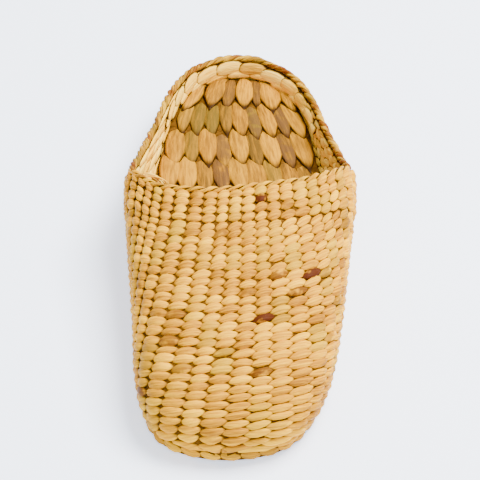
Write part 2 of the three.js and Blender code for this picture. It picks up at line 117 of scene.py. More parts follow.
width_share = column(SECTIONS, "at", "width", end_angle)
crown_share = column(SECTIONS, "at", "crown", end_angle)
belly_share = column(SECTIONS, "at", "belly", end_angle)
tuck_share = column(SECTIONS, "at", "tuck", end_angle)
underside_lift = column(UNDERSIDE, "at", "lift")
underside_arch = column(UNDERSIDE, "at", "arch")


def underside_height(at):
    return TOE_SPRING * underside_lift(at) + ARCH_LIFT * underside_arch(at)


def outsole_top(at):
    return underside_height(at) + OUTSOLE_THICKNESS


def toe_swing(at):
    return -TOE_SWING * np.maximum(0, 1 - np.asarray(at, float) / TOE_SWING_REACH) ** 2


def last_point(at, up, side, inset=0.0):
    """Points of the last: up is 0 at the sole edge, 1 at the widest level and 2 at the crown."""
    at, up = np.broadcast_arrays(np.asarray(at, float), np.asarray(up, float))
    foot = outsole_top(at) + CLEARANCE
    belly = INSTEP_HEIGHT * belly_share(at)
    wide = width_share(at) * (WIDTH / 2 - inset)
    narrow = wide * (1 - tuck_share(at))
    lower = np.minimum(1, up) * math.pi / 2
    upper = np.maximum(0, up - 1) * math.pi / 2
    x_low = narrow + (wide - narrow) * np.sin(lower)
    z_low = foot + (belly - foot) * (1 - np.cos(lower))
    crown = np.maximum(0, INSTEP_HEIGHT * crown_share(at) - inset - belly)
    x_high = wide * np.maximum(0, np.cos(upper)) ** (2 / SHOULDER_POWER)
    z_high = belly + crown * np.sin(upper) ** (2 / SHOULDER_POWER)
    run = (LENGTH - 2 * inset) * (1 - END_TUCK * (1 - np.sin(lower)))
    x = np.where(up > 1, x_high, x_low)
    z = np.where(up > 1, z_high, z_low)
    return np.stack([side * x + toe_swing(at), (at - 0.5) * run, z], -1)


def unit(vectors):
    """The same directions with length one."""
    return vectors / np.maximum(np.linalg.norm(vectors, axis=-1, keepdims=True), 1e-12)


def distances(path):
    """Distance of each point of a path from its start, measured along it."""
    return np.concatenate([[0], np.cumsum(np.linalg.norm(np.diff(path, axis=0), axis=1))])


def along_path(path, track, way):
    """Points on a path at distances from its start; track holds the distances of its points."""
    return np.stack([np.interp(way, track, path[:, k]) for k in range(3)], -1)


def linear(hex_colour):
    """An sRGB hex colour as the linear colour that a node wants."""
    values = [int(hex_colour[i : i + 2], 16) / 255 for i in (1, 3, 5)]
    return [v / 12.92 if v <= 0.04045 else ((v + 0.055) / 1.055) ** 2.4 for v in values] + [1.0]


def add_node(material, kind, inputs=None, **settings):
    """Adds one node with its settings, and links or sets its inputs."""
    tree = material.node_tree
    node = tree.nodes.new(kind)
    for key, value in settings.items():
        setattr(node, key, value)
    for key, value in (inputs or {}).items():
        if isinstance(value, bpy.types.NodeSocket):
            tree.links.new(value, node.inputs[key])
        else:
            node.inputs[key].default_value = value
    return node


def blend(material, share, colour, other):
    """Mixes a colour with a hex colour by a share."""
    inputs = {"Factor": share, "A": colour, "B": linear(other)}
    return add_node(material, "ShaderNodeMix", inputs, data_type="RGBA").outputs["Result"]


def stalk_material(name, dark, middle, light, green, stain, gap, rough, streak_mm, bump):
    """Dried, flattened water plant stalk: satin skin with fine fibres along each strand.

    The strand attribute holds each strand's tone, green cast, stain and seed, and depth tells
    how far down its side a place is. Low on the sides the colour is blended to the gap colour,
    which is painted shade in the crevices between strands. The fibre map is in centimetres
    along and across it.
    """
    material = bpy.data.materials.new(name)
    material.use_nodes = True
    material.node_tree.nodes.clear()
    strand = add_node(material, "ShaderNodeAttribute", attribute_name="strand")
    depth = add_node(material, "ShaderNodeAttribute", attribute_name="depth")
    parts = add_node(material, "ShaderNodeSeparateColor", {"Color": strand.outputs["Color"]})
    tone, cast, stained = parts.outputs["Red"], parts.outputs["Green"], parts.outputs["Blue"]
    fibre = add_node(material, "ShaderNodeUVMap", uv_map="fibre")
    shift = add_node(
        material, "ShaderNodeVectorMath",
        {0: fibre.outputs["UV"], 1: strand.outputs["Alpha"], 2: (0, 0, 0)}, operation="ADD",
    )
    # Fibres run along the strand, so the pattern is squeezed across it
    along = add_node(
        material, "ShaderNodeMapping",
        {"Vector": shift.outputs["Vector"], "Scale": (1.1, 10 / streak_mm, 1)},
    )
    streak = add_node(
        material, "ShaderNodeTexNoise",
        {"Vector": along.outputs["Vector"], "Scale": 1.0, "Detail": 3.0, "Roughness": 0.6},
    )
    blotch = add_node(
        material, "ShaderNodeTexNoise",
        {"Vector": shift.outputs["Vector"], "Scale": 2.2, "Detail": 2.0, "Roughness": 0.5},
    )
    mixed = add_node(
        material, "ShaderNodeMath",
        {0: streak.outputs["Fac"], 1: 1.7, 2: -0.85}, operation="MULTIPLY_ADD",
    )
    toned = add_node(material, "ShaderNodeMath", {0: tone, 1: mixed.outputs[0]}, operation="ADD")
    ramp = add_node(material, "ShaderNodeValToRGB", {"Fac": toned.outputs[0]})
    ramp.color_ramp.elements[0].position = 0.08
    ramp.color_ramp.elements[0].color = linear(dark)
    ramp.color_ramp.elements[1].position = 0.95
    ramp.color_ramp.elements[1].color = linear(light)
    ramp.color_ramp.elements.new(0.5).color = linear(middle)
    greened = blend(material, cast, ramp.outputs["Color"], green)
    patch = add_node(
        material, "ShaderNodeMapRange",
        {"Value": blotch.outputs["Fac"], "From Min": 0.35, "From Max": 0.50},
    )
    soaked = add_node(
        material, "ShaderNodeMath", {0: stained, 1: patch.outputs[0]}, operation="MULTIPLY"
    )
    marked = blend(material, soaked.outputs[0], greened, stain)
    # Painted shade: low on each strand's sides and at its tips the colour is blended to the gap colour, for
    # the crevices between strands
    painted_crevice_shade = add_node(
        material, "ShaderNodeMapRange",
        {"Value": depth.outputs["Fac"], "From Min": 0.34, "From Max": 0.86},
        interpolation_type="SMOOTHSTEP",
    )
    shaded = blend(material, painted_crevice_shade.outputs[0], marked, gap)
    skin = add_node(
        material, "ShaderNodeMapRange",
        {"Value": streak.outputs["Fac"], "To Min": rough - 0.10, "To Max": rough + 0.12},
    )
    relief = add_node(
        material, "ShaderNodeBump",
        {"Height": streak.outputs["Fac"], "Strength": bump, "Distance": 0.0006},
    )
    shader = add_node(
        material, "ShaderNodeBsdfPrincipled",
        {
            "Base Color": shaded,
            "Roughness": skin.outputs[0],
            "Normal": relief.outputs["Normal"],
            "Specular IOR Level": 0.06,
        },
    )
    add_node(material, "ShaderNodeOutputMaterial", {"Surface": shader.outputs["BSDF"]})
    return material


def model_strand(rings, ends):
    """One stretch of stalk between two crossings, modelled as a plump pod two units long. Each
    ring has its place along the pod and its new size; ends says how far the two tips reach."""
    bpy.ops.object.select_all(action="DESELECT")
    bpy.ops.mesh.primitive_uv_sphere_add(segments=8, ring_count=7, radius=1, rotation=(0, math.pi / 2, 0))
    pod = bpy.context.active_object
    bpy.ops.object.transform_apply(location=True, rotation=True, scale=True)
    bpy.ops.object.mode_set(mode="EDIT")
    bpy.ops.mesh.select_all(action="DESELECT")
    bpy.ops.object.mode_set(mode="OBJECT")
    for along, size in [*rings, (-1, ends[0]), (1, ends[1])]:
        for vertex in pod.data.vertices:
            vertex.select = abs(vertex.co.x - along) < 0.05
        bpy.ops.object.mode_set(mode="EDIT")
        value = (size, 1, 1) if abs(along) == 1 else (1, size, size)
        bpy.ops.transform.resize(value=value, center_override=(0, 0, 0))
        bpy.ops.mesh.select_all(action="DESELECT")
        bpy.ops.object.mode_set(mode="OBJECT")
    # The side that lies against the ground is pressed flat
    for vertex in pod.data.vertices:
        vertex.select = vertex.co.z < -0.5
    bpy.ops.object.mode_set(mode="EDIT")
    bpy.ops.transform.resize(value=(1, 1, 0.6), center_override=(0, 0, -0.4))
    bpy.ops.object.mode_set(mode="OBJECT")
    points = np.array([v.co for v in pod.data.vertices])
    faces = [tuple(p.vertices) for p in pod.data.polygons]
    pod_mesh = pod.data
    bpy.data.objects.remove(pod)
    bpy.data.meshes.remove(pod_mesh)
    return points, faces


def make_piece(name, points, faces, fibre, strand, depth, material, nodes):
    """A smooth-shaded piece from arrays, with its fibre map and its strand and depth values."""
    mesh = bpy.data.meshes.new(name)
    mesh.from_pydata(points.tolist(), [], faces)
    layer = mesh.uv_layers.new(name="fibre")
    loops = np.zeros(len(mesh.loops), int)
    mesh.loops.foreach_get("vertex_index", loops)
    layer.data.foreach_set("uv", fibre[loops].astype(np.float32).ravel())
    mesh.attributes.new("strand", "FLOAT_COLOR", "POINT").data.foreach_set(
        "color", strand.astype(np.float32).ravel()
    )
    mesh.attributes.new("depth", "FLOAT", "POINT").data.foreach_set("value", depth.astype(np.float32))
    mesh.polygons.foreach_set("use_smooth", [True] * len(mesh.polygons))
    mesh.materials.append(material)
    piece = bpy.data.objects.new(name, mesh)
    bpy.context.scene.collection.objects.link(piece)
    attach(piece, "root")
    if nodes:
        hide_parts(*nodes)
    return piece


def lay_strands(name, surface, pod, strands, material, nodes=()):
    """Copies the pod along a surface. Each strand is a dict: i and j say where its middle is on
    the surface, long and wide are its spans in j and i, lean moves its ends in i, rise is how
    thick it is, seat how high its middle lies, dip how far both ends dive, tilt how far one end
    lies over its neighbour, and size gives its real length and width."""
    shape, pod_faces = pod
    count, each = len(strands), len(shape)
    keys = [key for key in strands[0] if key != "size"]
    value = {key: np.array([float(s[key]) for s in strands])[:, None] for key in keys}
    size = np.array([s["size"] for s in strands])
    x, y, z = (shape[:, k][None, :] for k in range(3))
    j = value["j"] + x * value["long"] / 2
    i = value["i"] + y * value["wide"] / 2 + x * value["lean"]
    points, normals = surface(i, j)
    height = value["seat"] + value["rise"] * (z - value["dip"] * x * x) + value["tilt"] * x
    points = points + normals * height[..., None]
    fibre = np.stack([x * size[:, :1] * 50, y * size[:, 1:] * 50], -1)
    colour = np.stack([value[k] + 0 * x for k in ("tone", "cast", "stain", "seed")], -1)
    # Depth grows down the sides and towards the tips of each pod, where the material paints shade in the
    # gap colour
    depth = np.clip(1 - (z + 0.15 - 0.25 * x * x), 0, 1) + 0 * value["i"]
    faces = [tuple(v + n * each for v in face) for n in range(count) for face in pod_faces]
    return make_piece(
        name, points.reshape(-1, 3), faces, fibre.reshape(-1, 2),
        colour.reshape(-1, 4), depth.ravel(), material, nodes,
    )


def strand_values(rng, tone=0.5, spread=0.2, cast=0.0, stain=0.0):
    """Colour values of one strand, with a little chance in them."""
    return {
        "tone": float(np.clip(rng.normal(tone, spread), 0, 1)),
        "cast": float(np.clip(cast, 0, 1)),
        "stain": stain,
        "seed": float(rng.random() * 40),
    }


def even_rows(points):
    """Points of each row moved to equal steps along it, and the length of each row."""
    steps = np.linalg.norm(np.diff(points, axis=1), axis=2)
    track = np.concatenate([np.zeros((len(points), 1)), np.cumsum(steps, 1)], 1)
    share = np.linspace(0, 1, points.shape[1])
    even = np.empty_like(points)
    for k, (row, way) in enumerate(zip(points, track)):
        for axis in range(3):
            even[k, :, axis] = np.interp(share * way[-1], way, row[:, axis])
    return even, track[:, -1]


def table_surface(table, per_i, outward=True):
    """A surface read from a table of points. i counts rows, per_i table lines apart; j runs from
    0 to 1 along each row."""
    lines, marks = table.shape[:2]

    def read(i, j):
        a = np.clip(i * per_i, 0, lines - 1 - 1e-6)
        b = np.clip(j, 0, 1 - 1e-9) * (marks - 1)
        p, q = a.astype(int), b.astype(int)
        u, v = (a - p)[..., None], (b - q)[..., None]
        near = table[p, q] * (1 - v) + table[p, q + 1] * v
        far = table[p + 1, q] * (1 - v) + table[p + 1, q + 1] * v
        return near * (1 - u) + far * u

    def surface(i, j):
        points = read(i, j)
        normals = unit(np.cross(read(i, j + 0.01) - read(i, j - 0.01), read(i + 0.4, j) - read(i - 0.4, j)))
        # The inside of the shoe, seen from each point, shows which way is out
        middle = np.stack([0 * points[..., 0], points[..., 1] * 0.92, 0 * points[..., 0] + 0.012], -1)
        away = np.sum(normals * (points - middle), -1, keepdims=True)
        normals = np.where(away < 0, -normals, normals)
        return points, normals if outward else -normals

    return surface


rush = stalk_material(
    "twined_rush_stalk", "#96600A", "#CC8C02", "#F2B406", "#A0860E", "#4A2008", "#3C2202", 0.50, 0.8, 1.0
)
# A plump pod, a little fuller at its front end, for the twined stitches
POD = model_strand(
    [(-0.90, 0.46), (-0.62, 0.82), (-0.22, 1.04), (0.22, 1.08), (0.62, 0.92), (0.90, 0.56)], (1.18, 1.14)
)
MAT_TOP_STATIONS = (1 - np.cos(np.pi * np.arange(73) / 72)) / 2

# Core of the mat: a low loft between two rounded outlines
EDGE_STEP = 0.0006
MAT_CORE_TOP = 0.0054
MAT_CORE_THICKNESS = 0.0046
bpy.ops.mesh.primitive_grid_add(x_subdivisions=8, y_subdivisions=72, size=1)
mat = bpy.context.active_object
mat.name = "sole_mat_core"
co = np.array([v.co for v in mat.data.vertices])
station = np.clip((1 - np.cos(np.pi * (co[:, 1] + 0.5))) / 2, 0.0004, 0.9996)
rim = last_point(station, 0, 1)
swing = toe_swing(station)
across = swing + (rim[:, 0] - swing - EDGE_STEP) * co[:, 0] * 2
co = np.stack([across, rim[:, 1], underside_height(station) + MAT_CORE_TOP], -1)
mat.data.vertices.foreach_set("co", co.ravel())
thick = mat.modifiers.new("thickness", "SOLIDIFY")
thick.thickness = MAT_CORE_THICKNESS
thick.offset = -1
bpy.ops.object.modifier_apply(modifier="thickness")

# Painted shade: the warps are coloured dark brown for the shade in the holes between the stitches, with a
# corded grain from the noise
shade_dark_warp_ground = bpy.data.materials.new("rush_warp_ground_painted_shade")
shade_dark_warp_ground.use_nodes = True
shade_dark_warp_ground.node_tree.nodes.clear()
place = add_node(shade_dark_warp_ground, "ShaderNodeTexCoord")
cords = add_node(
    shade_dark_warp_ground, "ShaderNodeTexNoise",
    {"Vector": place.outputs["Object"], "Scale": 420.0, "Detail": 3.0, "Roughness": 0.6},
)
brown = add_node(shade_dark_warp_ground, "ShaderNodeValToRGB", {"Fac": cords.outputs["Fac"]})
brown.color_ramp.elements[0].position = 0.3
brown.color_ramp.elements[0].color = linear("#3A2204")
brown.color_ramp.elements[1].position = 0.75
brown.color_ramp.elements[1].color = linear("#6A440C")
uneven = add_node(
    shade_dark_warp_ground, "ShaderNodeBump", {"Height": cords.outputs["Fac"], "Strength": 0.5, "Distance": 0.0008}
)
matt = add_node(
    shade_dark_warp_ground, "ShaderNodeBsdfPrincipled",
    {
        "Base Color": brown.outputs["Color"], "Roughness": 0.8, "Specular IOR Level": 0.04,
        "Normal": uneven.outputs["Normal"],
    },
)
add_node(shade_dark_warp_ground, "ShaderNodeOutputMaterial", {"Surface": matt.outputs["BSDF"]})


def finish_ground(sheet, node):
    """Smooth shading, material and replaced solid of a finished layer of warps."""
    bpy.ops.object.shade_smooth_by_angle(angle=math.radians(50))
    sheet.data.materials.append(shade_dark_warp_ground)
    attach(sheet, "root")
    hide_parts(node)


finish_ground(mat, "outsole")

# Edge row: strands twined round the rim of the mat, leaning like the lay of a rope
rng = np.random.default_rng(11)
outline = np.concatenate(
    [last_point(MAT_TOP_STATIONS, 0, -1), last_point(MAT_TOP_STATIONS[::-1], 0, 1)[1:]]
)
outline[:, 2] = 0
track = distances(outline)
EDGE_STITCH = 0.0085
edge_count = round(track[-1] / EDGE_STITCH)


def mat_edge(i, j):
    """The rim of the mat: j counts stitches round it, i is the height in metres."""
    way = np.mod(j, edge_count) * track[-1] / edge_count
    flat = along_path(outline, track, way)
    ahead = np.mod(way + 0.002, track[-1])
    behind = np.mod(way - 0.002, track[-1])
    tangent = along_path(outline, track, ahead) - along_path(outline, track, behind)
    normals = unit(np.stack([-tangent[..., 1], tangent[..., 0], 0 * i], -1))
    away = np.sum(normals * flat, -1, keepdims=True)
    normals = np.where(away < 0, -normals, normals)
    at = np.clip(flat[..., 1] / LENGTH + 0.5, 0, 1)
    flat[..., 2] = underside_height(at) + i
    return flat, normals


strands = []
for n in range(edge_count):
    values = strand_values(rng, 0.42, 0.2, 0.2 * rng.random(), 1.0 if rng.random() < 0.12 else 0.0)
    strands.append({
        "i": 0.0029, "j": n + 0.5, "long": 1.45, "wide": 0.0050, "lean": 0.0008, "rise": 0.0014,
        "seat": -0.0004, "dip": 0.45, "tilt": 0.0, "size": (EDGE_STITCH * 1.4, 0.005), **values,
    })
lay_strands("sole_mat_edge_row", mat_edge, POD, strands, rush)


# Underside rows: the mat's own weave, flattened where the shoe stands
MAT_FACE_INSET = 0.0012
MAT_FACE_HEIGHT = 0.0008


def mat_face(i, j):
    """The underside: i is the station as a share of the length, j the place across, -1 to 1."""
    edge = last_point(np.clip(i, 0.001, 0.999), 0, 1)
    swing = toe_swing(i)
    x = swing + (edge[..., 0] - swing - MAT_FACE_INSET) * j
    points = np.stack([x, edge[..., 1], underside_height(i) + MAT_FACE_HEIGHT], -1)
    return points, np.zeros_like(points) + np.array([0, 0, -1.0])


strands = []
SOLE_ROW = 0.0056
sole_rows = round(LENGTH / SOLE_ROW)
for r in range(1, sole_rows):
    at = r / sole_rows
    half = float(last_point(at, 0, 1)[0] - toe_swing(at))
    columns = max(2, round(2 * half / 0.010))
    for c in range(columns):
        values = strand_values(rng, 0.40, 0.18, 0.25 * rng.random())
        strands.append({
            "i": at, "j": (2 * c + 1) / columns - 1, "long": 2.5 / columns,
            "wide": 1.12 / sole_rows, "lean": 0.25 / sole_rows, "rise": 0.0009, "seat": -0.0003,
            "dip": 0.5, "tilt": 0.0, "size": (0.0115, SOLE_ROW), **values,
        })
lay_strands("sole_mat_rows", mat_face, POD, strands, rush)


# Insole
# A second mat of broad, flat leaf-like stitches that run along the foot, stitched over a core.
# Their pointed ends tuck between their neighbours, and colours differ from stalk to stalk.

INSOLE_THICKNESS = 0.007
INSOLE_CORE_THICKNESS = 0.0055
LEAF_SINK = 0.0012
LEAF_LENGTH = 0.0235
LEAF_COLUMNS = 9
leaf_blade = stalk_material(
    "flattened_leaf_stalk", "#5C3C12", "#92600A", "#C28606", "#6C5C18", "#5C3E22", "#301A02", 0.46, 1.0, 1.0
)
INSOLE_SEAT = WALL + 2 * CLEARANCE


def insole_face(i, j):
    """The top of the insole: i counts columns from the inner side, j is the place along Y."""
    run = LENGTH - 2 * INSOLE_SEAT
    at = np.clip(j / (run * (1 - END_TUCK)) + 0.5, 0.0008, 0.9992)
    edge = last_point(at, 0, 1, INSOLE_SEAT)
    swing = toe_swing(at)
    x = swing + (edge[..., 0] - swing) * (2 * i / LEAF_COLUMNS - 1)
    top = outsole_top(at) + CLEARANCE + INSOLE_THICKNESS - LEAF_SINK
    points = np.stack([x, edge[..., 1], top], -1)
    return points, np.zeros_like(points) + np.array([0, 0, 1.0])


bpy.ops.object.select_all(action="DESELECT")
bpy.ops.mesh.primitive_grid_add(x_subdivisions=12, y_subdivisions=72, size=1)
core = bpy.context.active_object
core.name = "insole_core"
co = np.array([v.co for v in core.data.vertices])
reach = (LENGTH / 2 - INSOLE_SEAT) * (1 - END_TUCK)
along = -np.cos(np.pi * (co[:, 1] + 0.5)) * reach
top_points, _ = insole_face((co[:, 0] * 1.05 + 0.5) * LEAF_COLUMNS, along)
core.data.vertices.foreach_set("co", top_points.ravel())
thick = core.modifiers.new("thickness", "SOLIDIFY")
thick.thickness = INSOLE_CORE_THICKNESS
thick.offset = -1
bpy.ops.object.modifier_apply(modifier="thickness")
finish_ground(core, "insole")

# Each leaf is broad and round at its heel end, and runs out in a point towards the toe
LEAF = model_strand(
    [(-0.90, 0.30), (-0.62, 0.66), (-0.22, 0.95), (0.22, 1.06), (0.62, 1.16), (0.90, 1.55)], (1.20, 1.0)
)
# The leaves of the heel row fan out from under the heel band, in mm at their tips
HEEL_FAN = [
    {"tip": -27.0, "wide": 13.0, "front": 1},
    {"tip": -14.5, "wide": 12.5, "front": 1},
    {"tip": -6.5, "wide": 9.0, "front": 0},
    {"tip": 2.5, "wide": 12.0, "front": 1},
    {"tip": 9.5, "wide": 9.0, "front": 0},
    {"tip": 17.0, "wide": 13.5, "front": 1},
    {"tip": 28.0, "wide": 12.0, "front": 1},
]
FIRST_TIP = 0.103
HEEL_LEAF_LENGTH = 0.029


def heel_face(i, j):
    """The heel end of the insole: i is a place across at the tips, drawn in towards the heel."""
    points, normals = insole_face(0 * i + LEAF_COLUMNS, j)
    half = points[..., 0]
    points[..., 0] = np.clip(i * (1 - 9.0 * (j - FIRST_TIP)), -half, half)
    return points, normals


rng = np.random.default_rng(23)
strands = []
for leaf in HEEL_FAN:
    # Leaves in front are golden; those behind are brown, stained and darker, partly their own colour and
    # partly painted shade
    values = strand_values(rng, 0.68 if leaf["front"] else 0.28, 0.08, 0.1 * rng.random())
    values["stain"] = 0.0 if leaf["front"] else 0.5
    # The outer leaves reach a little less far forward
    middle = FIRST_TIP + 0.0135 - abs(leaf["tip"]) / 9000 + 0.001 * rng.normal()
    strands.append({
        "i": leaf["tip"] / 1000, "j": middle,
        "long": HEEL_LEAF_LENGTH, "wide": leaf["wide"] / 1000, "lean": 0.0006, "rise": 0.0018,
        "seat": 0.0009 if leaf["front"] else 0.0002, "dip": 0.30, "tilt": -0.0004,
        "size": (HEEL_LEAF_LENGTH, leaf["wide"] / 1000), **values,
    })
lay_strands("insole_heel_leaves", heel_face, LEAF, strands, leaf_blade)

strands = []
rows = int((FIRST_TIP + reach) / LEAF_LENGTH) + 1
for r in range(1, rows):
    for c in range(LEAF_COLUMNS):
        middle = FIRST_TIP - r * LEAF_LENGTH + LEAF_LENGTH * 0.64 + 0.0011 * rng.normal()
        at = np.clip(middle / (2 * reach) + 0.5, 0.01, 0.99)
        wide = 2 * float(last_point(at, 0, 1, INSOLE_SEAT)[0] - toe_swing(at)) / LEAF_COLUMNS
        # Golden stalks lie in front of brown and olive ones that are squeezed between them. The ones behind
        # are also given a darker tone as painted shade.
        golden = c % 2 == 0 if r % 2 == 0 else c == LEAF_COLUMNS // 2 or rng.random() < 0.22
        tone, greenest = (0.66, 0.12) if golden else (0.26, 0.55)
        values = strand_values(rng, tone, 0.10, rng.random() * greenest)
        values["stain"] = 0.0 if golden or rng.random() < 0.6 else 0.7
        strands.append({
            "i": c + 0.5, "j": middle, "long": LEAF_LENGTH * 1.52, "wide": 1.42 if golden else 1.24,
            "lean": -0.22, "rise": 0.0017, "seat": 0.0002 if golden else -0.0003,
            "dip": 0.35, "tilt": -0.0009, "size": (0.028, wide), **values,
        })
lay_strands("insole_leaves", insole_face, LEAF, strands, leaf_blade)


# Wall
# Vamp, side walls and heel wall are one sheet, twined with two strands round stiff warps.
# The ground is the layer of warps under the stitches; its dark brown is painted shade, and shows as dark
# points between the stitches.

HEEL_WALL_HEIGHT = 0.020
ROW_PITCH = 0.0047
THROAT_FRONT = 0.430
COLLAR_SKEW = 0.018
COLLAR = [
    {"at": 0.430, "rise": 0.630},
    {"at": 0.510, "rise": 0.620},
    {"at": 0.550, "rise": 0.550},
    {"at": 0.590, "rise": 0.420},
    {"at": 0.650, "rise": 0.270},
    {"at": 0.720, "rise": 0.155},
    {"at": 0.800, "rise": 0.070},
    {"at": 0.890, "rise": 0.020},
    {"at": 1.000, "rise": 0.000},
]
THROAT = [
    {"across": -1.05, "back": 0.120},
    {"across": -0.96, "back": 0.096},
    {"across": -0.86, "back": 0.057},
    {"across": -0.64, "back": 0.016},
    {"across": -0.28, "back": 0.000},
    {"across": 0.00, "back": 0.008},
    {"across": 0.32, "back": 0.024},
    {"across": 0.55, "back": 0.043},
    {"across": 0.78, "back": 0.078},
    {"across": 1.00, "back": 0.137},
    {"across": 1.05, "back": 0.150},
]
collar_share = column(COLLAR, "at", "rise")
throat_back = column(THROAT, "across", "back")


def collar_height(at, across=0.0):
    return HEEL_WALL_HEIGHT + (INSTEP_HEIGHT - HEEL_WALL_HEIGHT) * collar_share(at - COLLAR_SKEW * across)


def collar_level(at, side, inset=0.0):
    """Level on the last that lies at the height of the wall's top edge."""
    goal = collar_height(at, side * width_share(at))
    low, high = 0 * goal, 0 * goal + 2
    for _ in range(30):
        middle = (low + high) / 2
        under = last_point(at, middle, 1, inset)[..., 2] < goal
        low, high = np.where(under, middle, low), np.where(under, high, middle)
    return (low + high) / 2


def end_station(up, side, inset):
    """Station where a level line meets the throat edge, and further back below the belly."""
    at = 0 * up + THROAT_FRONT
    for _ in range(12):
        x = last_point(at, np.maximum(1, up), side, inset)[..., 0]
        at = THROAT_FRONT + throat_back(x / (WIDTH / 2))
    return at + 0.045 * np.maximum(0, 1 - up)


# Levels in steps of equal length round the throat section
fine = np.linspace(0, 2, 241)
section = last_point(0 * fine + THROAT_FRONT, fine, 1)
girth = distances(section)
SIDE_MARKS = 60
levels = np.interp(np.linspace(0, girth[-1], SIDE_MARKS + 1), girth, fine)

# Rows over the vamp are cut by leaning planes: each keeps one height above the plane that
# leans back at ROW_ANGLE, so it runs level over the toe and back down the sides.
VAMP_ROWS = 31
ROW_ANGLE = math.radians(40)
ROW_SMILE = 0.0015


def row_height(points):
    return points[..., 1] * math.sin(ROW_ANGLE) + points[..., 2] * math.cos(ROW_ANGLE)


def station_of_row(height, up):
    """Station at which a level line of the last reaches a row's height."""
    low, high = 0 * up, 0 * up + 0.8
    for _ in range(30):
        middle = (low + high) / 2
        under = row_height(last_point(middle, up, 1)) < height
        low, high = np.where(under, middle, low), np.where(under, high, middle)
    return (low + high) / 2


def vamp_table(inset):
    """Points of the vamp: a line for each half row, from the inner sole edge to the outer one."""
    lines = []
    first = float(row_height(last_point(0, 0, 1)))
    last = float(row_height(last_point(THROAT_FRONT + throat_back(0.0), 2, 1)))
    down = 1 - levels / 2
    for k in range(2 * VAMP_ROWS + 1):
        q = k / (2 * VAMP_ROWS)
        nearing = np.clip((q - 0.3) / 0.7, 0, 1) ** 2.4
        halves = []
        for side in (-1, 1):
            throat = row_height(last_point(end_station(levels, side, 0.0), levels, 1))
            height = first + q * (last - first) + nearing * (throat - last)
            height = height + (1 - nearing) * q * ROW_SMILE * down
            station = station_of_row(height, levels)
            halves.append(last_point(station, levels, side, inset))
        half_in, length_in = even_rows(halves[0][None])
        half_out, length_out = even_rows(halves[1][None])
        lines.append((half_in[0], half_out[0][::-1][1:], length_in[0], length_out[0]))
    return (
        np.array([np.concatenate([a, b]) for a, b, _, _ in lines]),
        np.array([a for _, _, a, _ in lines]),
        np.array([b for _, _, _, b in lines]),
    )


vamp_points, vamp_in, vamp_out = vamp_table(0.0)

# Rows along a side wall, from the throat corner to the middle of the heel
SIDE_STEPS = 120
WALL_MARKS = 40


def corner_station(side):
    """Station on one side where the throat cut leaves the outside of the wall."""
    at = np.linspace(THROAT_FRONT, 0.7, 541)
    x = last_point(at, collar_level(at, side), 1)[:, 0]
    return float(at[np.argmax(at > THROAT_FRONT + throat_back(side * x / (WIDTH / 2)))])


def side_table(side, inset, early=0.0):
    """Points of a side wall: lines of equal spacing towards the heel, each from sole to rim. The
    wall begins at the throat corner, or earlier by a share of the length."""
    share = np.linspace(0, 1, WALL_MARKS + 1)
    corner = corner_station(side)
    top = float(collar_level(np.array(corner), side))
    foot = float(end_station(np.array(0.0), side, 0.0))
    start = foot + (corner - foot) * (1 - (1 - share) ** 1.3) - early
    left = np.cos(np.linspace(0, math.pi / 2, 401))
    middle = last_point(1 - (1 - start[WALL_MARKS // 2]) * left, 0.6 * top, side, inset)
    way = distances(middle)
    even = np.interp(np.linspace(0, way[-1], SIDE_STEPS + 1), way, left)
    lines = []
    for rest in even:
        station = 1 - (1 - start) * max(rest, 1e-7)
        lines.append(last_point(station, share * collar_level(station, side, inset), side, inset))
    points, lengths = even_rows(np.array(lines))
    return points, lengths, way[-1]


side_points = {side: side_table(side, 0.0) for side in (-1, 1)}
WARP_DEPTH = 0.0005


def make_ground(name, outer_table, marks, thickness):
    """A closed sheet of warps just under the stitches, from a grid laid on the last."""
    bpy.ops.object.select_all(action="DESELECT")
    bpy.ops.mesh.primitive_grid_add(x_subdivisions=marks[0] - 1, y_subdivisions=marks[1] - 1, size=1)
    sheet = bpy.context.active_object
    sheet.name = name
    co = np.array([v.co for v in sheet.data.vertices]) + 0.5
    surface = table_surface(outer_table, 1)
    points, normals = surface(co[:, 1] * (len(outer_table) - 1), co[:, 0])
    sheet.data.vertices.foreach_set("co", (points - normals * WARP_DEPTH).ravel())
    # The wall grows inwards, whichever way the grid's faces turned out
    outside = Vector(surface(np.array([len(outer_table) / 2]), np.array([0.5]))[1][0])
    sheet.data.update()
    wall = sheet.modifiers.new("wall", "SOLIDIFY")
    wall.thickness = thickness
    middle = sheet.data.polygons[len(sheet.data.polygons) // 2]
    wall.offset = -1 if Vector(middle.normal).dot(outside) > 0 else 1
    bpy.ops.object.modifier_apply(modifier="wall")
    bpy.ops.object.mode_set(mode="EDIT")
    bpy.ops.mesh.select_all(action="SELECT")
    bpy.ops.mesh.remove_doubles(threshold=0.00001)
    bpy.ops.mesh.normals_make_consistent(inside=False)
    bpy.ops.object.mode_set(mode="OBJECT")
    finish_ground(sheet, "upper")


make_ground("vamp_ground", vamp_points, (81, 60), WALL - 0.0010)
# The side grounds begin under the vamp, so that no slit opens at the throat corners
make_ground("inner_wall_ground", side_table(-1, 0.0004, 0.03)[0], (16, 60), WALL - 0.0012)
make_ground("outer_wall_ground", side_table(1, 0.0004, 0.03)[0], (16, 60), WALL - 0.0012)


# Vamp stitches
# Plump slanted stitches of stalk in columns that fan from the toe to the throat. The last rows
# before the throat are squarer and sit in straight columns, with a groove under them.

COLUMN_AT_THROAT = 0.0062
COLUMN_AT_TOE = 0.0112
BAND_ROWS = 4
MOST_COLUMNS = 40
rng = np.random.default_rng(5)
column_drift = rng.normal(0, 0.10, MOST_COLUMNS)
# Stitches side by side come from one stalk, so tone and green cast go in patches
patches = rng.random((MOST_COLUMNS, MOST_COLUMNS))
casts = rng.random((MOST_COLUMNS, MOST_COLUMNS))
vamp_surface = table_surface(vamp_points, 2)


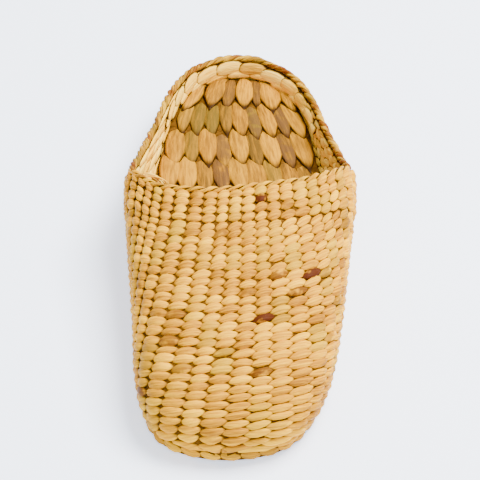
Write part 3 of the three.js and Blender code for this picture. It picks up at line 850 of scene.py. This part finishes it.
def column_edges(reach, pitch, drift, least):
    """Edges of the columns along a row. A last stretch shorter than the least share of a column
    joins the one before it."""
    edges = [0.0]
    while edges[-1] + pitch < reach:
        edges.append(edges[-1] + pitch * (1 + drift[len(edges) - 1]))
    if reach - edges[-1] < least * pitch and len(edges) > 1:
        edges[-1] = reach
    else:
        edges.append(reach)
    return edges


# Marked stitches: row from the toe, place from the crown line in mm, how stained and how light
MARKS = [
    {"row": 15.5, "place": 11, "stain": 1.8, "tone": 0.0},
    {"row": 20.5, "place": 33, "stain": 1.5, "tone": 0.1},
    {"row": 20.5, "place": 16, "stain": 0.7, "tone": 0.4},
    {"row": 18.5, "place": 26, "stain": 0.8, "tone": 0.3},
    {"row": 9.5, "place": 14, "stain": 0.8, "tone": 0.4},
    {"row": 15.5, "place": -31, "stain": 0.5, "tone": 0.3},
    {"row": 12.5, "place": -26, "stain": 0.6, "tone": 0.3},
    {"row": 6.5, "place": -39, "stain": 0.8, "tone": 0.4},
    {"row": 29.5, "place": 10, "stain": 1.0, "tone": 0.2},
]
strands = []
for r in range(VAMP_ROWS):
    row = r + 0.5
    length_in = float(np.interp(2 * row, np.arange(len(vamp_in)), vamp_in))
    length_out = float(np.interp(2 * row, np.arange(len(vamp_out)), vamp_out))
    band = VAMP_ROWS - r <= BAND_ROWS
    # A groove runs under the band, where its first row draws the sheet in
    groove = VAMP_ROWS - r == BAND_ROWS + 1
    pair = (VAMP_ROWS - 1 - r) // 2 if band else 3 + r // 3
    pitch = COLUMN_AT_THROAT + (COLUMN_AT_TOE - COLUMN_AT_THROAT) * (1 - row / VAMP_ROWS) ** 1.3
    for side, reach in ((-1, length_in), (1, length_out)):
        edges = column_edges(reach, pitch, column_drift, 0.45)
        for k, (near, far) in enumerate(zip(edges, edges[1:])):
            long = far - near
            place = side * (near + far) / 2
            number = MOST_COLUMNS // 2 + (k if side > 0 else -k - 1)
            tone = 0.36 + 0.30 * patches[number, pair]
            cast = max(0.0, casts[number, pair + 7] - 0.70) * 1.4
            values = strand_values(rng, tone, 0.11, cast)
            if rng.random() < 0.055:
                values["stain"] = 0.25 + 0.4 * rng.random()
            proud = 0.0
            for mark in MARKS:
                if abs(mark["row"] - row) < 0.1 and abs(mark["place"] / 1000 - place) < long / 2:
                    values.update(stain=mark["stain"], tone=mark["tone"], cast=0.0)
                    proud = 0.0004
            strands.append({
                "i": row + 0.05 * rng.normal(),
                "j": 0.5 + place / reach / 2,
                "long": long * ((1.30 if band else 1.44) + 0.07 * rng.normal()) / (2 * reach),
                "wide": (1.24 if band else 1.20) + 0.08 * rng.normal(),
                "lean": (0.10 if band else 0.28) + 0.04 * rng.normal(),
                "rise": 0.0018 + 0.0001 * rng.normal(),
                "seat": (-0.0011 if groove else -0.0003 if band else -0.0005) + proud,
                "dip": 0.34 if band else 0.46,
                "tilt": 0.0003,
                "size": (long * 1.3, ROW_PITCH),
                **values,
            })
lay_strands("vamp_stitches", vamp_surface, POD, strands, rush)


# Side and heel stitches
# The walls beside and behind the foot, twined of the same plant stalk as the vamp.
# Their rows lean back from the throat corners, and the stitches sit closer and smaller.

SIDE_COLUMN = 0.0066
for side, name in ((-1, "inner_wall_stitches"), (1, "outer_wall_stitches")):
    rng = np.random.default_rng(31 + side)
    points, lengths, way = side_points[side]
    count = round(way / ROW_PITCH)
    surface = table_surface(points, SIDE_STEPS / count)
    strands = []
    for r in range(count):
        row = r + 0.5
        reach = float(np.interp(row * SIDE_STEPS / count, np.arange(len(lengths)), lengths))
        edges = column_edges(reach, SIDE_COLUMN, np.zeros(MOST_COLUMNS), 0.5)
        for near, far in zip(edges, edges[1:]):
            values = strand_values(rng, 0.42, 0.19, 0.3 * rng.random(), 0.5 if rng.random() < 0.04 else 0.0)
            strands.append({
                "i": row + 0.05 * rng.normal(), "j": (near + far) / 2 / reach,
                "long": (far - near) * 1.30 / reach, "wide": 1.14 + 0.08 * rng.normal(),
                "lean": 0.20 * -side, "rise": 0.0018, "seat": -0.0005, "dip": 0.4, "tilt": 0.0,
                "size": (0.008, ROW_PITCH), **values,
            })
    lay_strands(name, surface, POD, strands, rush)


# Inside of the walls
# The ends of the stalks are pale strands that run along the inside of the walls.
# Each is tucked under the next one, and inside the vamp the twining shows from behind.

pale_stalk = stalk_material(
    "pale_stalk_ends", "#C48A18", "#FFBC2C", "#FFD45C", "#C2A638", "#9A6428", "#442806", 0.48, 0.8, 1.0
)
# A pressed strap with blunt ends, for the broad strands inside the shoe
STRAP = model_strand(
    [(-0.90, 1.30), (-0.62, 1.14), (-0.22, 1.02), (0.22, 1.02), (0.62, 1.12), (0.90, 1.20)], (1.0, 1.04)
)
# On the inner side the strands are long and lie flat. On the outer side they are short, and two
# rows at a time lean against each other, like a plait.
LININGS = [
    {"name": "inner_wall_lining", "side": -1, "rows": 7, "strand": 0.0200, "lean": -0.10, "flip": 1},
    {"name": "outer_wall_lining", "side": 1, "rows": 6, "strand": 0.0085, "lean": 0.30, "flip": -1},
]
for lining in LININGS:
    rng = np.random.default_rng(47 + lining["side"])
    points, lengths, way = side_table(lining["side"], WALL - 0.0006)
    lines_per_row = (len(points[0]) - 1) / lining["rows"]
    surface = table_surface(np.swapaxes(points, 0, 1), lines_per_row, outward=False)
    strands = []
    count = round(way / lining["strand"])
    for r in range(1, lining["rows"]):
        for k in range(count):
            values = strand_values(rng, 0.60, 0.20, 0.3 * rng.random() ** 2)
            strands.append({
                "i": r + 0.6 + 0.12 * rng.normal(), "j": (k + 0.5 + 0.5 * (r % 2)) / count,
                "long": (1.5 + 0.1 * rng.normal()) / count,
                "wide": 1.30, "lean": lining["lean"] * lining["flip"] ** r, "rise": 0.0013,
                "seat": 0.0001, "dip": 0.35, "tilt": 0.0003, "size": (0.014, 0.004), **values,
            })
    lay_strands(lining["name"], surface, POD, strands, pale_stalk)

rng = np.random.default_rng(53)
inside_surface = table_surface(vamp_table(WALL - 0.0004)[0], 2, outward=False)
INSIDE_COLUMNS = 22
strands = []
for r in range(VAMP_ROWS // 2, VAMP_ROWS):
    for c in range(INSIDE_COLUMNS):
        values = strand_values(rng, 0.4, 0.2, 0.4 * rng.random())
        strands.append({
            "i": r + 0.5, "j": (c + 0.5) / INSIDE_COLUMNS, "long": 1.3 / INSIDE_COLUMNS, "wide": 1.1,
            "lean": 0.3, "rise": 0.0012, "seat": 0.0, "dip": 0.45, "tilt": 0.0, "size": (0.010, ROW_PITCH),
            **values,
        })
lay_strands("vamp_lining", inside_surface, POD, strands, rush)


# Heel band
# A row of broad, flat pale strands inside the heel wall, split from the inside of the stalk.
# They are folded over from the rim and tucked down, and hide where the insole meets the wall.

HEEL_BAND_START = 0.80
HEEL_BAND_STITCH = 0.013
HEEL_BAND_TOP = 0.0205
HEEL_BAND_FOOT_INSET = 0.0012

bend = HEEL_BAND_START + (1 - HEEL_BAND_START) * np.sin(np.linspace(0, math.pi / 2, 41))
gap = WALL + 2 * CLEARANCE
band_top, band_foot = [], []
for side, stations in ((-1, bend), (1, bend[::-1][1:])):
    top_points = last_point(stations, 0.9, side, gap)
    top_points[:, 2] = HEEL_BAND_TOP
    foot_points = last_point(stations, 0.35, side, gap + HEEL_BAND_FOOT_INSET)
    foot_points[:, 2] = outsole_top(stations) + INSOLE_THICKNESS + 2 * CLEARANCE
    band_top.append(top_points)
    band_foot.append(foot_points)
band_top = np.concatenate(band_top)
band_foot = np.concatenate(band_foot)
band_track = distances((band_top + band_foot) / 2)
band_count = round(band_track[-1] / HEEL_BAND_STITCH)


def band_face(i, j):
    """The slope inside the heel: i runs from the insole (0) to the rim (1), j counts strands."""
    way = np.clip(j / band_count, 0, 1) * band_track[-1]
    foot_points = along_path(band_foot, band_track, way)
    top_points = along_path(band_top, band_track, way)
    points = foot_points + (top_points - foot_points) * i[..., None]
    ahead = along_path(band_top, band_track, np.clip(way + 0.002, 0, band_track[-1]))
    behind = along_path(band_top, band_track, np.clip(way - 0.002, 0, band_track[-1]))
    normals = unit(np.cross(ahead - behind, top_points - foot_points))
    return points, np.where(normals[..., 2:] < 0, -normals, normals)


rng = np.random.default_rng(61)
strands = []
for layer, (place, wide, shift) in enumerate(((0.22, 0.60, 0.0), (0.64, 1.00, 0.5))):
    for n in range(band_count):
        values = strand_values(rng, 0.62, 0.20, 0.3 * rng.random() ** 2)
        # The strands get slimmer and climb to the rim at both ends of the band
        end = min(1.0, (min(n, band_count - 1 - n) + 0.7) / 3)
        strands.append({
            "i": place * end + 0.75 * (1 - end) + 0.05 * rng.normal(), "j": n + 0.5 + shift,
            "long": 1.22 + 0.1 * rng.normal(),
            "wide": wide * (0.45 + 0.55 * end) * (1 + 0.08 * rng.normal()),
            "lean": 0.10 + 0.04 * rng.normal(), "rise": 0.0011, "seat": 0.0001 + 0.0003 * layer,
            "dip": 0.20, "tilt": -0.0004, "size": (0.016, 0.007), **values,
        })
lay_strands("heel_band_strands", band_face, STRAP, strands, pale_stalk, ("heel_band",))


# Throat braid
# A slim cord of two thin stalks finishes the edge of the throat. It is twisted along the cut
# ends of the warps, over the last row of stitches, and runs down to the rim rope.

THROAT_ROPE_RADIUS = 0.0015


def throat_point(across):
    """Middle of the throat edge at a share of the half width."""
    at = THROAT_FRONT + throat_back(across)
    x = across * WIDTH / 2
    low, high = 0 * across + 1.0, 0 * across + 2.0
    for _ in range(40):
        middle = (low + high) / 2
        wider = last_point(at, middle, 1, WALL / 2)[..., 0] > np.abs(x)
        low, high = np.where(wider, middle, low), np.where(wider, high, middle)
    point = last_point(at, (low + high) / 2, 1, WALL / 2)
    point[..., 0] = x
    return point


def throat_reach(side):
    """Share of the half width where the throat edge comes down onto the collar."""
    across = np.linspace(0.5, 1, 201)
    heights = throat_point(side * across)[:, 2]
    room = THROAT_ROPE_RADIUS / 2
    met = heights < collar_height(THROAT_FRONT + throat_back(side * across), side * across) + room
    return float(across[np.argmax(met)]) if met.any() else 1.0


def rope_tube(path, radius, reach, turns, start, swell, sides=8, steps_per_turn=14):
    """One strand of a rope: a closed tube wound round a path, as points, faces and maps. Its
    thickness follows the list of swell shares, spread evenly along it."""
    track = distances(path)
    count = int(turns * steps_per_turn)
    way = np.linspace(0, track[-1], count + 1)
    middle = along_path(path, track, way)
    tangent = unit(np.gradient(middle, axis=0))
    up = np.zeros_like(tangent) + np.array([0, 0, 1.0])
    normal = unit(up - tangent * np.sum(up * tangent, 1, keepdims=True))
    across = np.cross(normal, tangent)
    turn = start + 2 * math.pi * turns * way / track[-1]
    # The strands close to a point over the last 4 mm
    close = np.clip(np.minimum(way, track[-1] - way) / 0.004, 0.05, 1)
    offset = normal * np.cos(turn)[:, None] + across * np.sin(turn)[:, None]
    centre = middle + offset * (reach * close)[:, None]
    lead = unit(np.gradient(centre, axis=0))
    first = unit(offset - lead * np.sum(offset * lead, 1, keepdims=True))
    second = np.cross(lead, first)
    angle = 2 * math.pi * np.arange(sides) / sides
    ring = first[:, None] * np.cos(angle)[None, :, None] + second[:, None] * np.sin(angle)[None, :, None]
    uneven = np.interp(way / track[-1], np.linspace(0, 1, len(swell)), swell)
    points = centre[:, None] + ring * (radius * close * uneven)[:, None, None]
    fibre = np.stack([
        np.repeat(way[:, None] * 100, sides, 1), np.repeat(angle[None] * radius * 100, count + 1, 0),
    ], -1)
    # The side of each strand that faces the rope's core gets depth, so the material paints shade where the
    # strands press together
    inward = np.clip(0.5 - 0.7 * np.repeat(np.cos(angle)[None], count + 1, 0), 0, 1)
    faces = [
        (i * sides + k, i * sides + (k + 1) % sides, (i + 1) * sides + (k + 1) % sides, (i + 1) * sides + k)
        for i in range(count) for k in range(sides)
    ]
    faces.append(tuple(range(sides))[::-1])
    faces.append(tuple(count * sides + k for k in range(sides)))
    return points.reshape(-1, 3), faces, fibre.reshape(-1, 2), inward.ravel(), way


def join_tubes(name, tubes, material, nodes=()):
    """One piece from tubes, each of them given with the colour values of its rings."""
    points, faces, fibre, depth, strand = [], [], [], [], []
    first = 0
    for (tube_points, tube_faces, tube_fibre, tube_depth, way), values in tubes:
        points.append(tube_points)
        faces.extend(tuple(v + first for v in face) for face in tube_faces)
        fibre.append(tube_fibre)
        depth.append(tube_depth)
        strand.append(np.repeat(values, len(tube_points) // len(way), 0))
        first += len(tube_points)
    make_piece(
        name, np.concatenate(points), faces, np.concatenate(fibre),
        np.concatenate(strand), np.concatenate(depth), material, nodes,
    )


def twist_rope(name, path, radius, reach, turns, look, rng, material, node):
    """A rope of strands wound round each other. Its look says how many strands there are, how
    their thickness swells, and how tone, green cast and stains change from knot to knot."""
    tubes = []
    for n in range(look["strands"]):
        swell = np.clip(rng.normal(*look["swell"]), *look["swell_limits"])
        tube = rope_tube(path, radius, reach, turns, 2 * math.pi * n / look["strands"], swell)
        way = tube[-1]
        knots = np.arange(0, way[-1] + 0.02, look["knot"])
        tone = np.interp(way, knots, np.clip(rng.normal(*look["tone"], len(knots)), 0, 1))
        cast = np.interp(way, knots, look["cast"] * rng.random(len(knots)) ** 2)
        stain = np.interp(way, knots, (rng.random(len(knots)) < look["stained"]) * look["stain"])
        tubes.append((tube, np.stack([tone, cast, stain, 0 * way + look["seed"] * n], -1)))
    join_tubes(name, tubes, material, (node,))


throat_path = throat_point(np.linspace(-throat_reach(-1), throat_reach(1), 121))
THROAT_ROPE_LAY = 0.0125
THROAT_ROPE_BACK = 0.0008
THROAT_ROPE_RISE = 0.0016
# The cord lies over the wall's edge, a little to the back and standing over the last stitches
throat_path[:, 1] += THROAT_ROPE_BACK
throat_path[:, 2] += THROAT_ROPE_RISE
THROAT_ROPE_LOOK = {
    "strands": 2, "swell": (0.95, 0.18, 60), "swell_limits": (0.6, 1.3), "knot": 0.007,
    "tone": (0.62, 0.22), "cast": 0.3, "stained": 0.08, "stain": 0.6, "seed": 5,
}
twist_rope(
    "throat_braid_strands", throat_path, THROAT_ROPE_RADIUS * 0.72, THROAT_ROPE_RADIUS * 0.52,
    distances(throat_path)[-1] / THROAT_ROPE_LAY, THROAT_ROPE_LOOK, np.random.default_rng(71),
    rush, "throat_braid",
)


# Loose fibres
# Split ends of the pale stalks at the inner throat corner, each a fibre under a millimetre
# thick. They stick out where the strands are tucked in, and curl over the insole.

FIBRE_RADIUS = 0.00042
FIBRE_COUNT = 22
FIBRE_SPREAD = 0.065
rng = np.random.default_rng(77)
corner = corner_station(-1)
tubes = []
for n in range(FIBRE_COUNT):
    station = np.array(corner + FIBRE_SPREAD * rng.random())
    level = (0.72 + 0.22 * rng.random()) * collar_level(station, -1)
    root = last_point(station, level, -1, WALL + 0.0010)
    reach_out = 0.006 + 0.010 * rng.random()
    fall = 0.006 + 0.008 * rng.random()
    middle = root + np.array([0.6 * reach_out, -0.1 * fall, 0.0030 + 0.0030 * rng.random()])
    tip = root + np.array([reach_out, -fall, -0.0010 + 0.0030 * rng.random()])
    t = np.linspace(0, 1, 9)[:, None]
    curve = root * (1 - t) ** 2 + 2 * middle * t * (1 - t) + tip * t * t
    points, faces, fibre, depth, way = rope_tube(curve, FIBRE_RADIUS, 0.0, 1, 0.0, [1.0, 1.0, 0.6], 5, 9)
    values = strand_values(rng, 0.62, 0.2, 0.1, 0.6 if rng.random() < 0.15 else 0.0)
    row = [values[key] for key in ("tone", "cast", "stain", "seed")]
    tubes.append(((points, faces, fibre, 0 * depth, way), np.tile(row, (len(way), 1))))
join_tubes("loose_fibres", tubes, pale_stalk)


# Rim rope
# A rope of three thin stalks, darker and reddish in places, on the top edge of the wall.
# It is twisted on from one throat corner round the heel to the other.

RIM_ROPE_RADIUS = 0.0021
RIM_ROPE_LAY = 0.0155
RIM_ROPE_SINK = 0.0004
rim_stalk = stalk_material(
    "twisted_edge_stalk", "#6A420C", "#B07A12", "#E2AE28", "#8A7A1A", "#6E2A08", "#2C1804", 0.52, 0.7, 0.9
)
halves = []
for side in (-1, 1):
    start = corner_station(side) + RIM_ROPE_RADIUS / LENGTH
    stations = start + (1 - start) * np.sin(np.linspace(0, math.pi / 2, 81))
    points = last_point(stations, collar_level(stations, side), side, WALL / 2)
    points[:, 2] = collar_height(stations, side * width_share(stations))
    halves.append(points)
rim_path = np.concatenate([halves[0], halves[1][::-1][1:]])
rim_path[:, 2] += RIM_ROPE_RADIUS + CLEARANCE - RIM_ROPE_SINK
RIM_ROPE_LOOK = {
    "strands": 3, "swell": (0.85, 0.25, 90), "swell_limits": (0.4, 1.25), "knot": 0.009,
    "tone": (0.5, 0.28), "cast": 0.4, "stained": 0.3, "stain": 0.9, "seed": 7,
}
twist_rope(
    "rim_rope_strands", rim_path, RIM_ROPE_RADIUS * 0.52, RIM_ROPE_RADIUS * 0.38,
    round(distances(rim_path)[-1] / RIM_ROPE_LAY), RIM_ROPE_LOOK, np.random.default_rng(83),
    rim_stalk, "rim_braid",
)


# Floor, light and camera
# A pale plain paper floor under soft light: a large box from above, a weak one from the front.
# The camera keeps the photograph's angle to the shoe.

bpy.ops.object.select_all(action="DESELECT")
bpy.ops.mesh.primitive_plane_add(size=6, location=(0, 0, 0))
floor = bpy.context.active_object
floor.name = "floor"
paper = bpy.data.materials.new("pale_floor")
paper.use_nodes = True
paper_shader = paper.node_tree.nodes["Principled BSDF"]
paper_shader.inputs["Base Color"].default_value = linear("#E6EDFB")
paper_shader.inputs["Roughness"].default_value = 0.9
paper_shader.inputs["Emission Color"].default_value = linear("#DCE9FF")
paper_shader.inputs["Emission Strength"].default_value = 1.35
floor.data.materials.append(paper)

world = bpy.data.worlds.new("studio")
bpy.context.scene.world = world
world.use_nodes = True
world.node_tree.nodes["Background"].inputs["Color"].default_value = (0.93, 0.96, 1.0, 1)
world.node_tree.nodes["Background"].inputs["Strength"].default_value = 0.95


def soft_light(name, place, aim, size, watts, colour):
    bpy.ops.object.light_add(type="AREA", location=place)
    lamp = bpy.context.active_object
    lamp.name = name
    lamp.data.size = size
    lamp.data.energy = watts
    lamp.data.color = colour
    lamp.rotation_euler = (Vector(aim) - Vector(place)).to_track_quat("-Z", "Y").to_euler()


soft_light("softbox_above", (0.50, 0.16, 1.25), (0, 0, 0), 0.8, 76, (1.0, 0.98, 0.94))
soft_light("softbox_front", (0.1, -1.1, 0.9), (0, 0, 0.02), 0.9, 6, (1.0, 0.99, 0.97))

FORWARD = Vector((0.0230, 0.7644, -0.6443)).normalized()
UP_HINT = Vector((-0.0415, 0.6414, 0.766))
AIM = Vector((0.001, 0.000, 0.012))
CAMERA_DISTANCE = 0.95
bpy.ops.object.camera_add()
camera = bpy.context.active_object
right = FORWARD.cross(UP_HINT).normalized()
up = right.cross(FORWARD).normalized()
place = AIM - FORWARD * CAMERA_DISTANCE
camera.matrix_world = Matrix((
    (right.x, up.x, -FORWARD.x, place.x),
    (right.y, up.y, -FORWARD.y, place.y),
    (right.z, up.z, -FORWARD.z, place.z),
    (0, 0, 0, 1),
))
camera.data.sensor_width = 36
camera.data.lens = 152
bpy.context.scene.camera = camera
